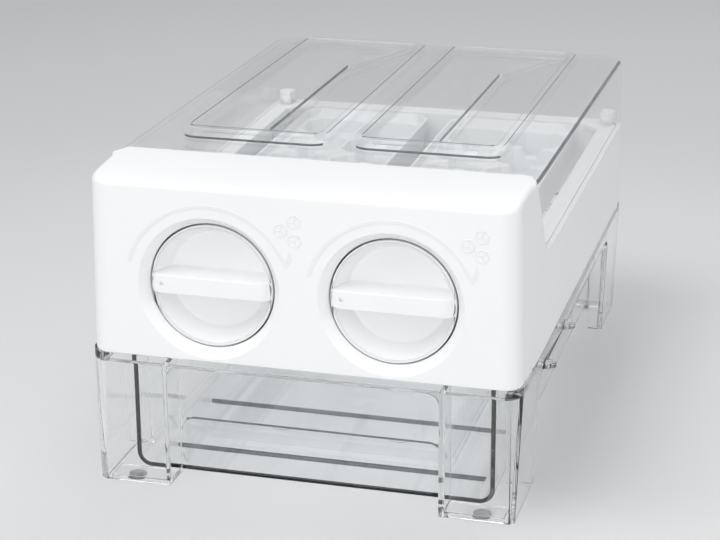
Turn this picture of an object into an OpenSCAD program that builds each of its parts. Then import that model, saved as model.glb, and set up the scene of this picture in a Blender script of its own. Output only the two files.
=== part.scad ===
// Twist ice maker with an ice drawer, for a freezer shelf.
// Front face towards -Y, +X to the right seen from the front, +Z up, millimetres.
// Inside the modules y is measured from the front plane; place() moves the
// origin to the middle of the footprint on the shelf plane.

/* [Overall size] */
// Width at the seam between the stand and the housing
body_w = 220; // [214:1:232]
// Depth from the front plane to the rear wall
body_l = 320; // [300:1:340]
// Height of the seam, where the housing sits on the stand
seam_z = 72; // [70:0.5:74]
// Height of the white side ledge that the cover stands on
ledge_z = 120.3; // [118:0.1:123]
// Height of the cover's flat top at its front edge
cover_z = 164.7; // [163:0.1:166]
// Height of the cover's flat top at its rear edge
cover_back = 160.5; // [159:0.1:163]
// Corner radius seen from above
corner_r = 10; // [6:0.5:12]
// Side draft of the housing, millimetres for each millimetre of height
draft = 0.02; // [0.01:0.002:0.04]
// How much narrower each side is at the front plane than 50 mm behind it
bow = 1.4; // [0:0.1:2]
// Wall thickness of the white housing
wall = 2.5; // [2:0.1:2.8]
// Wall thickness of the clear cover
cover_t = 2.2; // [1.6:0.1:2.4]

/* [Knobs] */
// Distance of each knob axis from the middle
knob_x = 45.7; // [44:0.1:47]
// Height of the knob axes
axis_z = 109.9; // [109:0.1:111]
// Outer radius of a knob's rim
knob_r = 31.2; // [30:0.1:31.4]
// Depth of the rim behind the front plane
rim_y = 5.4; // [4.5:0.1:6]
// Depth of the dished floor behind the rim
dish_d = 12.1; // [11:0.1:13.5]
// Thickness of the grip bar
grip_t = 9.2; // [7:0.1:10]
// Radius of the knob hub, a running fit in the front bush
hub_r = 8; // [7.5:0.1:8.5]
// Radius of the drive shaft
shaft_r = 4.95; // [4.5:0.05:4.95]

/* [Ice trays] */
// Half width of a tray over its rim
tray_hw = 39; // [38:0.5:41]
// Height of the tray rim
tray_top = 120; // [119:0.5:120]
// Height of the tray's underside
tray_low = 90; // [88:1:93]
// Columns of pockets
tray_cols = 2; // [2:1:3]
// Rows of pockets
tray_rows = 6; // [5:1:7]
// Drop from the tray rim to the deck between the pockets
deck_drop = 4.7; // [4:0.1:6]
// Radius of the rear journal
journal_r = 5; // [4:0.1:5]

/* [Fill trays] */
// Half width of a fill tray over its rim
fill_hw = 39; // [37:0.5:40]
// Height of the rim above the cover
fill_h = 6.2; // [5:0.1:8]
// Width of the slot along the valley
fill_slot = 3; // [2:0.2:3.6]

/* [Drawer and tub] */
// Outer half width of the tub
tub_hw = 94; // [92:0.5:95]
// Outer half width of the drawer
drawer_hw = 68.2; // [62:0.1:68.2]
// Height of the drawer's rim
drawer_top = 33.5; // [26:0.5:40]
// Half width of the front portal
portal_hw = 69.5; // [69.5:0.5:71]
// Thickness of the clear walls of the stand
stand_t = 3; // [2.5:0.1:3]

/* [Hidden] */
$fn = 64;

white = [0.94, 0.945, 0.95];
tray_white = [0.92, 0.93, 0.94];
clear = [0.86, 0.90, 0.93, 0.35];
metal = [0.72, 0.73, 0.75];
natural = [0.85, 0.84, 0.80];

// Front shoulder and roof of the housing in side view, [y, drop below the cover's
// top], with its corners cut twice to make a smooth curve
function cut(p) = concat([p[0]], [for (i = [0:len(p)-2]) each [0.75*p[i] + 0.25*p[i+1], 0.25*p[i] + 0.75*p[i+1]]], [p[len(p)-1]]);
shoulder = cut(cut([[0, 5.6], [0.25, 4.3], [0.97, 3.15], [2.04, 2.4], [3.5, 2.1], [8, 1.5],
                    [16, 0.8], [28, 0.3], [40, 0.1]]));
slant_y0 = 40;      // top of the fascia's slanted rear edge
slant_y1 = 66;      // bottom of it, at the ledge
roof_y = 49;        // rear edge of the fascia's roof
well_r = 32;        // knob well
well_back = 24;     // front face of the well's floor
well_t = 2.5;
tray_y0 = 74;       // front face of a tray
tray_y1 = 305;      // rear face of a tray
bear_y = 308;       // front face of the rear bearing wall
stop_r = 24;        // radius of the stop lug and its pegs
gap = 0.3;          // clearance between a lifted piece and what carries it

function hw_at(z) = body_w/2 - draft*(z - seam_z);
// The cover's top slopes down to the rear; the fill trays lie on it at the same slope
top_run = body_l - slant_y0 - gap;
function top_at(y) = cover_z - (cover_z - cover_back)*(y - slant_y0 - gap)/top_run;
module on_top() {
  translate([0, 184, top_at(184)]) rotate([-atan((cover_z - cover_back)/top_run), 0, 0])
    translate([0, -184, -cover_z]) children();
}
module place() { translate([0, -body_l/2, 0]) children(); }

// Rounded rectangle with true arcs
module rrect(x0, x1, y0, y1, r) {
  translate([x0 + r, y0]) square([x1 - x0 - 2*r, y1 - y0]);
  translate([x0, y0 + r]) square([x1 - x0, y1 - y0 - 2*r]);
  for (x = [x0 + r, x1 - r]) for (y = [y0 + r, y1 - r]) translate([x, y]) circle(r);
}
// Plan outline of the body, inset by t, a little narrower in front
module plan(t) {
  intersection() {
    rrect(-body_w/2 + t, body_w/2 - t, t, body_l - t, corner_r - t);
    polygon([[-body_w/2 + bow + t, 0], [body_w/2 - bow - t, 0], [body_w/2 - t, 50],
      [body_w/2 - t, body_l], [-body_w/2 + t, body_l], [-body_w/2 + t, 50]]);
  }
}
// Extrusion along Y of a drawing in x, z
module along_y(y0, y1) { translate([0, y1, 0]) rotate([90, 0, 0]) linear_extrude(y1 - y0) children(); }
// Extrusion along X of a drawing in y, z
module along_x(x0, x1) { translate([x0, 0, 0]) rotate([90, 0, 90]) linear_extrude(x1 - x0) children(); }
// Turned shape about an axis along Y through x, axis_z; the drawing is radius, y
module turned(x) { translate([x, 0, axis_z]) rotate([-90, 0, 0]) rotate_extrude() children(); }
// Cylinder along Y through x, z
module rod(x, z, r, y0, y1) { translate([x, y0, z]) rotate([-90, 0, 0]) cylinder(r = r, h = y1 - y0); }
module block(x0, x1, y0, y1, z0, z1) { translate([x0, y0, z0]) cube([x1 - x0, y1 - y0, z1 - z0]); }
module both() { children(); mirror([1, 0, 0]) children(); }

// Plan outline and side draft shared by the housing and the cover, inset by t
module drafted(t, z0, z1) {
  intersection() {
    translate([0, 0, z0]) linear_extrude(z1 - z0) plan(t);
    along_y(-5, body_l + 5) polygon([[-hw_at(z0) + t, z0], [hw_at(z0) - t, z0],
      [hw_at(z1) - t, z1], [-hw_at(z1) + t, z1]]);
  }
}

/* ---------------- housing ---------------- */
module housing_skin() {
  difference() {
    intersection() {
      drafted(0, seam_z, cover_z);
      along_x(-body_w, body_w) polygon(concat([[0, seam_z]],
        [for (p = shoulder) [p[0], cover_z - p[1]]],
        [[slant_y1, ledge_z], [body_l, ledge_z], [body_l, seam_z]]));
    }
    intersection() {
      drafted(wall, seam_z - 1, cover_z + 10);
      along_x(-body_w, body_w) polygon(concat([[wall, seam_z - 1]],
        [for (p = shoulder) [p[0] + wall, cover_z - wall - p[1]]],
        [[slant_y0 + wall, cover_z + 10], [body_l - wall, cover_z + 10], [body_l - wall, seam_z - 1]]));
    }
  }
}
module upper_housing() color(white) {
  difference() {
    union() {
      housing_skin();
      // rear part of the roof with its clipped corners, and the lip under the cover's front edge
      translate([0, 0, cover_z - 2.85]) linear_extrude(2.75) polygon([[-hw_at(cover_z) + 0.6, 37],
        [-hw_at(cover_z) + 0.6, slant_y0], [-hw_at(cover_z) + 4.7, roof_y], [hw_at(cover_z) - 4.7, roof_y],
        [hw_at(cover_z) - 0.6, slant_y0], [hw_at(cover_z) - 0.6, 37]]);
      block(-100, 100, 45, 54, cover_z - 4.95, cover_z - 2.75);
      // knob wells
      for (x = [-knob_x, knob_x]) rod(x, axis_z, well_r + 2.5, 1, well_back + well_t);
      // rib between the wells and brackets for the carrier
      block(-1.2, 1.2, 1, 26, seam_z + 4, cover_z - 8);
      both() for (y = [80, 290]) block(99.6, 107.8, y - 6, y + 6, 110, 112.5);
    }
    for (x = [-knob_x, knob_x]) {
      turned(x) polygon([[0, -1], [36.9, -1], [36.2, 0], [32.6, rim_y - 0.2], [well_r, rim_y + 0.3],
        [well_r, well_back], [0, well_back]]);
      rod(x, axis_z, hub_r + 3.05, well_back - 1, well_back + well_t + 1);
    }
    both() for (y = [80, 290]) translate([102.4, y, 100]) cylinder(r = 1.7, h = 20);
  }
}

/* ---------------- tray carrier ---------------- */
module tray_carrier() color(white) {
  difference() {
    union() {
      // side ledges and rear bar, rounded at the rear corners
      intersection() {
        union() {
          both() block(97, 106, 32, body_l - wall - 0.4, ledge_z - 2.5, ledge_z);
          block(-97.1, 97.1, bear_y, body_l - wall - 0.4, ledge_z - 2.5, ledge_z);
          both() translate([0, 0, ledge_z - 2.5]) linear_extrude(2.5)
            polygon([[97.1, 297], [97.1, bear_y + 0.1], [86.5, bear_y + 0.1]]);
        }
        translate([0, 0, ledge_z - 5]) linear_extrude(10) rrect(-106, 106, -20, body_l - wall - 0.4, 9);
      }
      // skirts, rear bearing wall, front cross wall
      both() block(97, 99, 27.5, bear_y + 3, 78, ledge_z - 2.4);
      block(-98, 98, bear_y, bear_y + 3, 78, ledge_z - 2.4);
      block(-98, 98, 27.5, 30, 78, 95);
      // screw bosses under the ledges
      both() for (y = [80, 290]) translate([102.4, y, 112.8]) cylinder(r = 2.9, h = ledge_z - 114.8);
      // D-shaped posts at the rear corners
      both() intersection() {
        translate([100.2, 310.6, ledge_z - 1]) cylinder(r = 5.3, h = 8.8);
        block(97, 105.5, 300, 320, 100, 140);
      }
      // stops for the trays' rear lugs
      for (s = [-1, 1]) for (a = [75.5, -105.4])
        rod(s*knob_x + stop_r*sin(a), axis_z + stop_r*cos(a), 3, tray_y1 + 0.6, bear_y + 1);
    }
    for (s = [-1, 1]) rod(s*knob_x, axis_z, journal_r + 2.05, bear_y - 5, bear_y + 5);
    both() for (y = [80, 290]) translate([102.4, y, 110]) cylinder(r = 1.25, h = 9.2);
  }
}
module carrier_screws() color(metal) both() for (y = [80, 290]) translate([102.4, y, 0]) {
  translate([0, 0, 108.2]) cylinder(r = 2.6, h = 1.8);
  translate([0, 0, 109.9]) cylinder(r = 1.2, h = 8.9);
}

/* ---------------- cover and fill trays ---------------- */
module clear_cover() color(clear) {
  difference() {
    intersection() {
      drafted(0, ledge_z + gap, cover_z);
      along_x(-body_w, body_w) polygon([[slant_y0 + gap, cover_z], [slant_y1 + gap, ledge_z + gap],
        [body_l, ledge_z + gap], [body_l, cover_back]]);
    }
    // inside, open below
    intersection() {
      drafted(cover_t, ledge_z - 1, cover_z);
      along_x(-body_w, body_w) polygon([[30, ledge_z - 1], [body_l - cover_t, ledge_z - 1],
        [body_l - cover_t, top_at(body_l - cover_t) - cover_t], [30, top_at(30) - cover_t]]);
    }
    // front edge along the fascia's roof
    translate([0, 0, cover_z - 8]) linear_extrude(10) polygon([[-body_w, 30],
      [-body_w, slant_y0 - 1], [-hw_at(cover_z) - 1, slant_y0 - 1.2 + gap], [-hw_at(cover_z) + 4.6, roof_y + gap],
      [hw_at(cover_z) - 4.6, roof_y + gap], [hw_at(cover_z) + 1, slant_y0 - 1.2 + gap], [body_w, slant_y0 - 1], [body_w, 30]]);
    // openings for the fill trays
    for (x = [-knob_x, knob_x]) translate([x, 0, cover_z - 9]) linear_extrude(14)
      rrect(-fill_hw + 3.5, fill_hw - 3.5, 76, 291.5, 6);
    // air openings in the rear wall
    for (s = [-1, 1]) along_y(body_l - 10, body_l + 10)
      rrect(s*45.5 - 30.5, s*45.5 + 30.5, ledge_z - 15, 145.5, 6);
  }
}
module trough_cut(z) {
  // hipped hollow whose valley is at height z
  intersection() {
    along_y(60, 300) polygon([[-fill_hw + 4.4, z + 6.51], [fill_hw - 4.4, z + 6.51], [1.5, z], [-1.5, z]]);
    along_x(-50, 50) polygon([[75.9, z + 6.51], [105, z], [262, z], [291.6, z + 6.51]]);
  }
}
module fill_tray(x) color(clear) on_top() translate([x, 0, 0]) {
  z0 = cover_z + gap;
  z1 = cover_z + 6.5;
  difference() {
    union() {
      difference() {
        union() {
          translate([0, 0, z0]) linear_extrude(fill_h - 1.4) rrect(-fill_hw, fill_hw, 71.5, 296, 9);
          translate([0, 0, z0 + 1]) linear_extrude(fill_h - 1) rrect(-fill_hw + 1.2, fill_hw - 1.2, 72.7, 294.8, 7.8);
        }
        translate([0, 0, z0 - 1]) linear_extrude(20) rrect(-fill_hw + 4.5, fill_hw - 4.5, 76, 291.5, 5);
      }
      intersection() {
        translate([0, 0, 150]) linear_extrude(25) rrect(-fill_hw + 4.4, fill_hw - 4.4, 75.9, 291.6, 5.1);
        along_y(60, 300) polygon([[-fill_hw + 4.4, cover_z + 5], [fill_hw - 4.4, cover_z + 5],
          [fill_hw - 4.4, cover_z + 2.6], [2.5, cover_z - 3.5], [-2.5, cover_z - 3.5], [-fill_hw + 4.4, cover_z + 2.6]]);
        along_x(-50, 50) polygon([[75.9, cover_z + 5], [75.9, cover_z + 2.6], [104, cover_z - 3.5],
          [263, cover_z - 3.5], [291.6, cover_z + 2.6], [291.6, cover_z + 5]]);
      }
      // spout round the slot
      block(-fill_slot/2 - 1.2, fill_slot/2 + 1.2, 105.6, 261.4, cover_z - 6.2, cover_z - 3.3);
    }
    trough_cut(cover_z - 1.5);
    block(-fill_slot/2, fill_slot/2, 107, 260, 150, 180);
  }
}
module fill_tray_left() fill_tray(-knob_x);
module fill_tray_right() fill_tray(knob_x);

/* ---------------- knobs, shafts, screws, bushes, springs ---------------- */
module knob(x) color(white) {
  floor_y = rim_y + dish_d;
  difference() {
    union() {
      turned(x) polygon([[0, floor_y], [23.6, floor_y], [24.8, floor_y - 0.4], [25.6, floor_y - 1.4],
        [knob_r - 1.7, rim_y + 0.8], [knob_r - 1.4, rim_y + 0.2], [knob_r - 1, rim_y], [knob_r - 0.3, rim_y],
        [knob_r, rim_y + 0.3], [knob_r, rim_y + 5], [27.4, floor_y + 2], [hub_r, floor_y + 2], [hub_r, 31], [0, 31]]);
      // grip bar, its ends bend back to the rim
      intersection() {
        translate([x, 0, axis_z - grip_t/2]) linear_extrude(grip_t)
          polygon([[-knob_r, floor_y + 1], [-knob_r, rim_y], [-29.3, 4], [-27, 2.6], [-24.5, 2], [24.5, 2],
            [27, 2.6], [29.3, 4], [knob_r, rim_y], [knob_r, floor_y + 1]]);
        rod(x, axis_z, knob_r - 0.8, 0, floor_y + 1);
        turned(x) polygon([[0, 0], [knob_r - 0.8, 0], [knob_r - 0.8, rim_y + 3], [26, floor_y + 1], [0, floor_y + 1]]);
      }
    }
    // shaft socket, screw hole and the mark on the grip
    rod(x, axis_z, 5, 22, 40);
    rod(x, axis_z, 1.5, 9, 30);
    rod(x - 24.9, axis_z, 1.2, 1, 4.4);
  }
}
module drive_shaft(x) color(natural) difference() {
  union() {
    rod(x, axis_z, shaft_r, 22.1, tray_y0 - 9);
    rod(x, axis_z, 10.5, 31.3, 33.3);
    rod(x, axis_z, 12, tray_y0 - 10, tray_y0 - 7);
    translate([x, 0, axis_z]) block(-9, 9, tray_y0 - 7.5, tray_y0 - 2, -3.2, 3.2);
  }
  rod(x, axis_z, 1.6, 20, 60);
  rod(x, axis_z, 2.9, 46.5, 80);
}
module knob_screw(x) color(metal) {
  rod(x, axis_z, 1.45, 10, 47);
  rod(x, axis_z, 2.8, 46.6, 48.6);
}
module front_bush(x) color(natural) difference() {
  union() {
    rod(x, axis_z, hub_r + 5.5, 22.6, well_back);
    rod(x, axis_z, hub_r + 3, 23.5, 30.5);
  }
  rod(x, axis_z, hub_r + 0.05, 10, 40);
}
module rear_bush(x) color(natural) difference() {
  union() {
    rod(x, axis_z, journal_r + 4, bear_y - 1.4, bear_y);
    rod(x, axis_z, journal_r + 2, bear_y - 0.5, bear_y + 4);
  }
  rod(x, axis_z, journal_r + 0.05, bear_y - 10, bear_y + 10);
}
// Coil swept along a helix; rings are built by rule
function ring(c, a, wr, m) = [for (k = [0:m-1]) let (b = 360*k/m)
  [(c[0] + wr*cos(b))*cos(a), c[1] + wr*sin(b), (c[0] + wr*cos(b))*sin(a)]];
module coil(r, wr, y0, y1, turns, seg, m) {
  n = turns*seg;
  pts = [for (i = [0:n]) each ring([r, y0 + (y1 - y0)*i/n], 360*i/seg, wr, m)];
  side = [for (i = [0:n-1]) for (k = [0:m-1])
    [i*m + k, (i+1)*m + k, (i+1)*m + (k+1)%m, i*m + (k+1)%m]];
  polyhedron(points = pts, convexity = 10,
    faces = concat([[for (k = [0:m-1]) k]], side, [[for (k = [m-1:-1:0]) n*m + k]]));
}
module return_spring(x) color(metal) translate([x, 0, axis_z]) coil(8.4, 0.6, 34.6, 62, 7, 18, 6);

module knob_left() knob(-knob_x);
module knob_right() knob(knob_x);
module drive_shaft_left() drive_shaft(-knob_x);
module drive_shaft_right() drive_shaft(knob_x);
module knob_screw_left() knob_screw(-knob_x);
module knob_screw_right() knob_screw(knob_x);
module front_bush_left() front_bush(-knob_x);
module front_bush_right() front_bush(knob_x);
module return_spring_left() return_spring(-knob_x);
module return_spring_right() return_spring(knob_x);
module rear_bush_left() rear_bush(-knob_x);
module rear_bush_right() rear_bush(knob_x);

/* ---------------- ice trays ---------------- */
deck_z = tray_top - deck_drop;
pitch_x = 71.6/tray_cols;
pitch_y = 223.2/tray_rows;
row_y0 = (tray_y0 + tray_y1 - 223.2)/2;
notch_d = 5.5;       // depth of the water notches in the cross dividers
module pocket(cx, cy) {
  a = pitch_x/2 - 1; b = a - 4.6;
  c = pitch_y/2 - 3; d = c - 4.2;
  intersection() {
    along_y(cy - 30, cy + 30) polygon([[cx - b, tray_low + 2], [cx + b, tray_low + 2], [cx + a, deck_z + 0.01], [cx - a, deck_z + 0.01]]);
    along_x(cx - 30, cx + 30) polygon([[cy - d, tray_low + 2], [cy + d, tray_low + 2], [cy + c, deck_z + 0.01], [cy - c, deck_z + 0.01]]);
    translate([0, 0, tray_low]) linear_extrude(40) polygon([[cx - a + 6.5, cy - c], [cx + a - 6.5, cy - c], [cx + a, cy - c + 6.5],
      [cx + a, cy + c - 6.5], [cx + a - 6.5, cy + c], [cx - a + 6.5, cy + c], [cx - a, cy + c - 6.5], [cx - a, cy - c + 6.5]]);
  }
}
module tray_plan(t) polygon([[-tray_hw + t + 8, tray_y0 + t], [tray_hw - t - 8, tray_y0 + t],
  [tray_hw - t, tray_y0 + t + 8], [tray_hw - t, tray_y1 - t - 8], [tray_hw - t - 8, tray_y1 - t],
  [-tray_hw + t + 8, tray_y1 - t], [-tray_hw + t, tray_y1 - t - 8], [-tray_hw + t, tray_y0 + t + 8]]);
module ice_tray(x) color(tray_white) translate([x, 0, 0]) difference() {
  union() {
    intersection() {
      translate([0, 0, tray_low]) linear_extrude(tray_top - tray_low) tray_plan(0);
      along_y(0, 400) polygon([[-tray_hw + 5, tray_low], [tray_hw - 5, tray_low], [tray_hw - 1.4, tray_top - 1.6],
        [tray_hw, tray_top - 1.6], [tray_hw, tray_top], [-tray_hw, tray_top], [-tray_hw, tray_top - 1.6], [-tray_hw + 1.4, tray_top - 1.6]]);
    }
    // front boss, rear journal and stop lug
    rod(0, axis_z, 11.5, tray_y0 - 6, tray_y0 + 1);
    rod(0, axis_z, journal_r, tray_y1 - 1, bear_y + 3.5);
    block(-stop_r - 3, -stop_r + 3, tray_y1 - 1, tray_y1 + 2.2, axis_z - 3, axis_z + 3);
  }
  // shared hollow above the dividers
  intersection() {
    translate([0, 0, deck_z]) linear_extrude(20) tray_plan(1.6);
    along_y(0, 400) polygon([[-tray_hw + 2.1, deck_z], [tray_hw - 2.1, deck_z], [tray_hw - 1.6, tray_top + 1], [-tray_hw + 1.6, tray_top + 1]]);
    along_x(-50, 50) polygon([[tray_y0 + 5, deck_z], [tray_y1 - 5, deck_z], [tray_y1 - 1.8, tray_top + 1], [tray_y0 + 1.8, tray_top + 1]]);
  }
  for (i = [0:tray_cols-1]) let (c = (i - (tray_cols - 1)/2)*pitch_x) {
    for (j = [0:tray_rows-1]) pocket(c, row_y0 + (j + 0.5)*pitch_y);
    // water notches through the cross dividers
    along_y(row_y0 + 8, row_y0 + 215.2) polygon([[c - 3.5, deck_z - notch_d], [c + 3.5, deck_z - notch_d], [c + 6.15, deck_z + 0.01], [c - 6.15, deck_z + 0.01]]);
  }
  // hollows between the pockets, from below
  for (i = [1:tray_cols-1]) along_y(tray_y0 + 6, tray_y1 - 6) let (c = (i - tray_cols/2)*pitch_x)
    polygon([[c - 3.4, tray_low - 1], [c + 3.4, tray_low - 1], [c, tray_low + 17]]);
  for (j = [1:tray_rows-1]) along_x(-tray_hw + 8, tray_hw - 8) let (c = row_y0 + j*pitch_y)
    polygon([[c - 5.6, tray_low - 1], [c + 5.6, tray_low - 1], [c + 1.2, tray_low + 16.5], [c - 1.2, tray_low + 16.5]]);
  // slot for the shaft's key
  translate([0, 0, axis_z]) block(-9.1, 9.1, tray_y0 - 7, tray_y0 - 1.6, -3.3, 3.3);
}
module ice_tray_left() ice_tray(-knob_x);
module ice_tray_right() ice_tray(knob_x);

/* ---------------- stand ---------------- */
foot_z = 1.5;
band_z = 60;
portal_z = 66.5;
function st_hw(z) = body_w/2 - 0.2 - 0.035*(seam_z - z);
module stand_block(t, z0, z1) intersection() {
  translate([0, 0, z0]) linear_extrude(z1 - z0) plan(t);
  along_y(-5, body_l + 5) polygon([[-st_hw(z0) + t, z0], [st_hw(z0) - t, z0], [st_hw(z1) - t, z1], [-st_hw(z1) + t, z1]]);
  along_x(-body_w, body_w) polygon([[1.2 + t, z0], [0.2 + t, z1], [body_l - 0.2 - t, z1], [body_l - 1.2 - t, z0]]);
}
module base_frame() color(clear) difference() {
  union() {
    difference() {
      stand_block(0, foot_z, seam_z);
      stand_block(stand_t, foot_z - 1, seam_z + 1);
      // portal in front
      along_y(-5, 12) rrect(-portal_hw, portal_hw, -30, portal_z, 6);
      // open sides and rear
      along_x(-body_w, body_w) rrect(52, 273, -30, band_z, 8);
      along_y(body_l - 12, body_l + 5) rrect(-76, 76, -30, band_z, 8);
    }
    // flange that carries the housing
    difference() {
      stand_block(0, portal_z, seam_z);
      block(-101, 101, 8, body_l - 8, 0, 100);
    }
    // ledges for the tub
    both() block(97.5, 106, 24, body_l - 8, portal_z - 2.5, portal_z + 0.1);
    block(-98, 98, body_l - 10.5, body_l - 3, portal_z - 2.5, portal_z + 0.1);
    // return walls beside the portal, returns of the side panels and foot plates
    both() {
      block(portal_hw, portal_hw + 2.5, 2.5, 19.5, foot_z, portal_z + 1);
      block(99, 105.6, 49, 52, foot_z, band_z + 2);
      block(99, 105.6, 273, 276, foot_z, band_z + 2);
      block(portal_hw, 102, 3, 18, foot_z, foot_z + 2.2);
      block(78, 102, body_l - 13.5, body_l - 3, foot_z, foot_z + 2.2);
    }
  }
  // slots of the side clips
  both() for (y = [63, 119]) block(100, 112, y - 4.3, y + 4.3, 60.7, 64);
}
module side_clips() color(clear) both() for (y = [63, 119]) {
  block(105.6, 113.2, y - 4, y + 4, 61, 63.7);
  translate([113.2, y, 61]) cylinder(r = 2.4, h = 2.7);
  block(104.4, 105.8, y - 6.5, y + 6.5, 60.3, 63.9);
}
module foot_pads() color(clear) both() for (y = [10, body_l - 8]) translate([90, y, 0]) cylinder(r = 4.5, h = foot_z);

/* ---------------- tub, guides and drawer ---------------- */
module tub_section(t) rrect(-tub_hw + t, tub_hw - t, 2.5 + t, 90, 8 - t);
module ice_tub() color(clear) {
  difference() {
    intersection() { along_y(20, 306) tub_section(0); block(-100, 100, 0, 400, 0, 68.4); }
    along_y(10, 303.6) tub_section(2.4);
  }
  both() block(tub_hw - 1, 100.4, 24, 306, portal_z + 0.1, 68.4);
  // cross ribs under the floor
  for (y = [46, 106]) block(-84, 84, y, y + 2.4, 0.5, 2.6);
}
module drawer_guide() color(clear) block(69.2, 71.2, 26, 300, 4.9, 12);
module drawer_guide_left() mirror([1, 0, 0]) drawer_guide();
module drawer_guide_right() drawer_guide();
module drawer_section(t) rrect(-drawer_hw + t, drawer_hw - t, 6 + t, 90, 6.5 - t);
module ice_drawer() color(clear) {
  difference() {
    union() {
      // floor, sides and rear wall
      difference() {
        intersection() { along_y(18, 298) drawer_section(0); block(-80, 80, 0, 400, 0, drawer_top); }
        along_y(10, 295.8) drawer_section(2.2);
        block(-drawer_hw + 2.2, drawer_hw - 2.2, 10, 55, 0, 12);
      }
      // upright front with rounded top corners
      along_y(16, 18.2) rrect(-drawer_hw, drawer_hw, 6, drawer_top, 7.5);
      // sloping plate behind the front, down to the floor
      along_x(-drawer_hw + 2, drawer_hw - 2) polygon([[17.5, drawer_top - 1.4], [19.5, drawer_top - 1.4],
        [58, 8.1], [58, 6.05], [54.4, 6.05], [17.5, drawer_top - 4.4]]);
      // glide ribs
      both() block(58, 60.5, 58, 296, 5.3, 6.1);
    }
    for (x = [-32, 32]) translate([x, 76, 7.5]) cylinder(r = 7.5, h = 2);
  }
}

place() upper_housing();
place() tray_carrier();
place() carrier_screws();
place() clear_cover();
place() fill_tray_left();
place() fill_tray_right();
place() knob_left();
place() knob_right();
place() drive_shaft_left();
place() drive_shaft_right();
place() knob_screw_left();
place() knob_screw_right();
place() front_bush_left();
place() front_bush_right();
place() return_spring_left();
place() return_spring_right();
place() ice_tray_left();
place() ice_tray_right();
place() rear_bush_left();
place() rear_bush_right();
place() base_frame();
place() side_clips();
place() foot_pads();
place() ice_tub();
place() drawer_guide_left();
place() drawer_guide_right();
place() ice_drawer();
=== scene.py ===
import bpy
import bmesh
import math
from mathutils import Vector, Matrix


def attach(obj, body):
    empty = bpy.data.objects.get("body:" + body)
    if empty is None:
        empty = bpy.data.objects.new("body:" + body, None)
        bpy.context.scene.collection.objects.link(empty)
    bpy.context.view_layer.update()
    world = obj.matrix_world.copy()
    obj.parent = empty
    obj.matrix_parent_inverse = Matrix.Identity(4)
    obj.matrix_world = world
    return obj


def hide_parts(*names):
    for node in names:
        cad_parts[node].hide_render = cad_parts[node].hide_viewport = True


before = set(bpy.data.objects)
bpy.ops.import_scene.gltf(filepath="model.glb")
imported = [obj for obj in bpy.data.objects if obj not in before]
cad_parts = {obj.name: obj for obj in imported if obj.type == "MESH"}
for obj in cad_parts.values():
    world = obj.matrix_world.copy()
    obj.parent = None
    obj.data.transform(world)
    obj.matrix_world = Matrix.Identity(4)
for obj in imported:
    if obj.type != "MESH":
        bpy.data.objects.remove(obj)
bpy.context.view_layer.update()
SC = bpy.context.scene

# ---------------------------------------------------------------- sizes, millimetres, y from the front plane
L = 320.0
W = 220.0
SEAM, LEDGE = 72.0, 120.3
TOP, BACK = 164.7, 160.5      # the cover's top slopes down to the rear
SL0, SL1, ROOF = 40.0, 66.0, 49.0
DRAFT = 0.02
BOW = 1.4             # each side is this much narrower at the front plane
KX, AZ = 45.7, 109.9
WALL, CT = 2.5, 2.2
FRONT = 0.25          # the fascia's face; the raised marks stand on it, up to 0


RUN = L - SL0 - 0.3


def hw(z):
    return W / 2 - DRAFT * (z - SEAM)


def top_at(y):
    return TOP - (TOP - BACK) * (y - SL0 - 0.3) / RUN


# ---------------------------------------------------------------- solids in mesh code
def add_mesh(name, verts, faces):
    me = bpy.data.meshes.new(name)
    me.from_pydata([tuple(v) for v in verts], [], faces)
    bm = bmesh.new()
    bm.from_mesh(me)
    bmesh.ops.recalc_face_normals(bm, faces=bm.faces)
    bm.to_mesh(me)
    bm.free()
    ob = bpy.data.objects.new(name, me)
    SC.collection.objects.link(ob)
    return ob


def prism(axis, pts, a, b):
    n = len(pts)

    def at(p, t):
        return {"x": (t, p[0], p[1]), "y": (p[0], t, p[1]), "z": (p[0], p[1], t)}[axis]
    verts = [at(p, a) for p in pts] + [at(p, b) for p in pts]
    faces = [list(range(n))[::-1], list(range(n, 2 * n))]
    faces += [[i, (i + 1) % n, n + (i + 1) % n, n + i] for i in range(n)]
    return add_mesh("tmp", verts, faces)


def block(x0, x1, y0, y1, z0, z1):
    return prism("z", [(x0, y0), (x1, y0), (x1, y1), (x0, y1)], z0, z1)


def arc(cx, cy, r, a0, a1, n):
    return [(cx + r * math.cos(math.radians(a0 + (a1 - a0) * i / n)),
             cy + r * math.sin(math.radians(a0 + (a1 - a0) * i / n))) for i in range(n + 1)]


def rrect(x0, x1, y0, y1, r, n=12):
    if not isinstance(r, (list, tuple)):
        r = [r] * 4
    pts = []
    for (cx, cy, a, k) in ((x1, y0, -90, 1), (x1, y1, 0, 2), (x0, y1, 90, 3), (x0, y0, 180, 0)):
        rr = r[k]
        if rr <= 0:
            pts.append((cx, cy))
            continue
        ccx = cx - rr if cx == x1 else cx + rr
        ccy = cy - rr if cy == y1 else cy + rr
        pts += arc(ccx, ccy, rr, a, a + 90, n)
    return pts


def lathe(x, prof, n=144, z=AZ):
    """Closed profile of (radius, y) turned about the knob axis through x."""
    rings, verts, faces = [], [], []
    for (r, y) in prof:
        if r < 1e-6:
            rings.append([len(verts)])
            verts.append((x, y, z))
        else:
            rings.append(list(range(len(verts), len(verts) + n)))
            verts += [(x + r * math.cos(2 * math.pi * k / n), y, z + r * math.sin(2 * math.pi * k / n)) for k in range(n)]
    m = len(prof)
    for i in range(m):
        a, b = rings[i], rings[(i + 1) % m]
        if len(a) == 1 and len(b) == 1:
            continue
        for k in range(n):
            k2 = (k + 1) % n
            if len(a) == 1:
                faces.append([a[0], b[k], b[k2]])
            elif len(b) == 1:
                faces.append([a[k], b[0], a[k2]])
            else:
                faces.append([a[k], b[k], b[k2], a[k2]])
    return add_mesh("tmp", verts, faces)


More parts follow.
